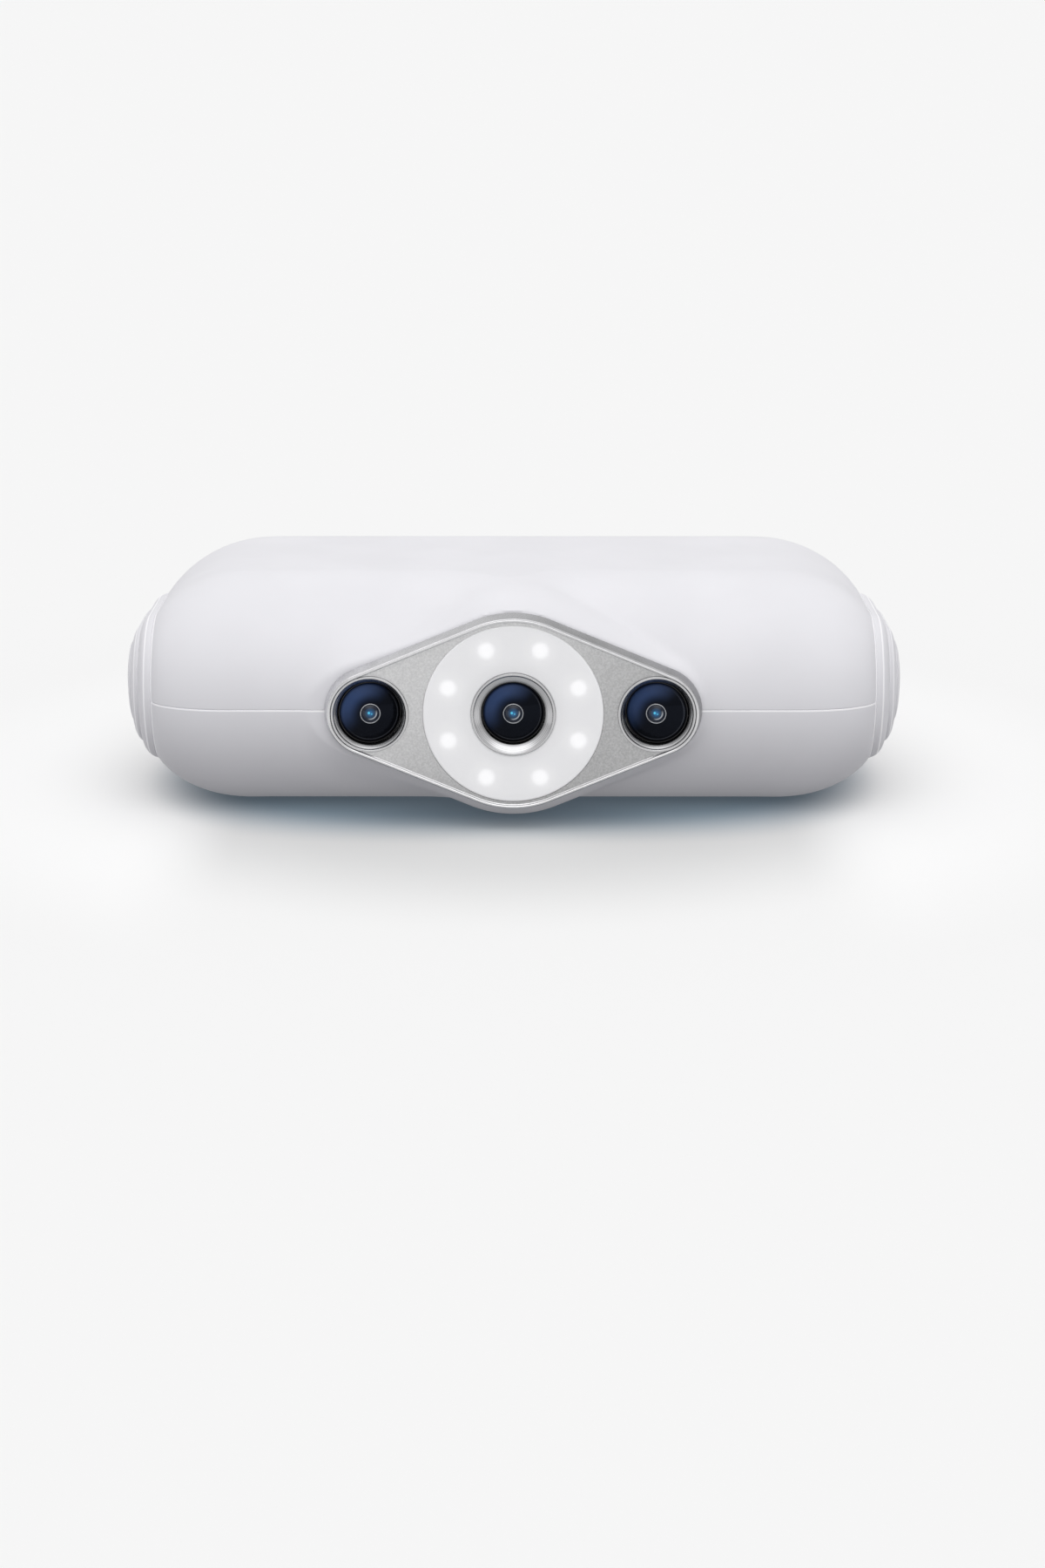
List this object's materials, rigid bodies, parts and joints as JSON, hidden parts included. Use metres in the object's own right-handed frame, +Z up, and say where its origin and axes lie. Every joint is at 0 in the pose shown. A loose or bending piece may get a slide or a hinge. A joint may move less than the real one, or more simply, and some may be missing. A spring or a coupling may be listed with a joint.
{
  "type": "three-d scanner",
  "caption": "Rounded white handheld scanner with a lozenge metal bezel, ring light, centre projector and flanking cameras; tripod socket below, sprung buttons behind.",
  "frame": {"origin": "on the underside, at the middle of the whole length and depth", "axes": "+Z up, +X along the length to the viewer's right as seen from the front, the lenses look along -Y and the buttons face +Y"},
  "size_m": [0.155, 0.084, 0.046],
  "materials": {
    "white_casing": "satin-gloss moulded white plastic",
    "satin_bezel": "blasted satin face with a polished rim",
    "milky_diffuser": "milky white light diffuser",
    "chrome_trim": "polished",
    "lens_glass": "dark coated glass",
    "black_metal": "black anodised",
    "bare_aluminium": "milled",
    "circuit_board": "green solder mask",
    "black_chip": "moulded black plastic",
    "lamp_chip": "white lamp package",
    "screw_steel": "bright steel",
    "insert_brass": "turned brass",
    "grey_panel": "fine matt grey plastic",
    "button_plastic": "soft-touch grey plastic",
    "ribbon_film": "amber film",
    "light_pipe": "clear moulded light pipe"
  },
  "bodies": {
    "casing": {"top_shell": "white_casing", "bottom_shell": "white_casing", "left_end_cap": "white_casing", "right_end_cap": "white_casing", "front_bezel": "satin_bezel", "light_ring": "milky_diffuser", "led_board": "circuit_board", "left_lens_ring": "chrome_trim", "centre_lens_ring": "chrome_trim", "right_lens_ring": "chrome_trim", "left_lens_glass": "lens_glass", "centre_lens_glass": "lens_glass", "right_lens_glass": "lens_glass", "left_lens_barrel": "black_metal", "centre_lens_barrel": "black_metal", "right_lens_barrel": "black_metal", "optical_frame": "bare_aluminium", "left_camera_housing": "black_metal", "right_camera_housing": "black_metal", "projector_housing": "black_metal", "left_sensor_board": "circuit_board", "right_sensor_board": "circuit_board", "projector_board": "circuit_board", "frame_screw_1": "screw_steel", "frame_screw_2": "screw_steel", "frame_screw_3": "screw_steel", "frame_screw_4": "screw_steel", "main_board": "circuit_board", "processor": "black_chip", "left_memory_chip": "black_chip", "right_memory_chip": "black_chip", "heat_sink": "bare_aluminium", "board_screw_1": "screw_steel", "board_screw_2": "screw_steel", "board_screw_3": "screw_steel", "board_screw_4": "screw_steel", "case_screw_1": "screw_steel", "case_screw_2": "screw_steel", "case_screw_3": "screw_steel", "case_screw_4": "screw_steel", "tripod_insert": "insert_brass", "control_panel": "grey_panel", "rear_board": "circuit_board", "scan_switch": "black_chip", "plus_switch": "black_chip", "minus_switch": "black_chip", "usb_socket": "screw_steel", "power_jack": "black_chip", "status_led": "lamp_chip", "status_light": "light_pipe", "left_camera_ribbon": "ribbon_film", "right_camera_ribbon": "ribbon_film", "projector_ribbon": "ribbon_film", "rear_ribbon": "ribbon_film"},
    "scan_key": {"scan_button": "button_plastic", "scan_plunger": "grey_panel"},
    "plus_key": {"plus_button": "button_plastic", "plus_plunger": "grey_panel"},
    "minus_key": {"minus_button": "button_plastic", "minus_plunger": "grey_panel"}
  },
  "joints": [
    {"name": "scan_press", "type": "slide", "parent": "casing", "child": "scan_key", "axis": [0, -1, 0], "range_m": [0, 0.0007], "stiffness_N_per_m": 800},
    {"name": "plus_press", "type": "slide", "parent": "casing", "child": "plus_key", "axis": [0, -1, 0], "range_m": [0, 0.0007], "stiffness_N_per_m": 800},
    {"name": "minus_press", "type": "slide", "parent": "casing", "child": "minus_key", "axis": [0, -1, 0], "range_m": [0, 0.0007], "stiffness_N_per_m": 800}
  ]
}
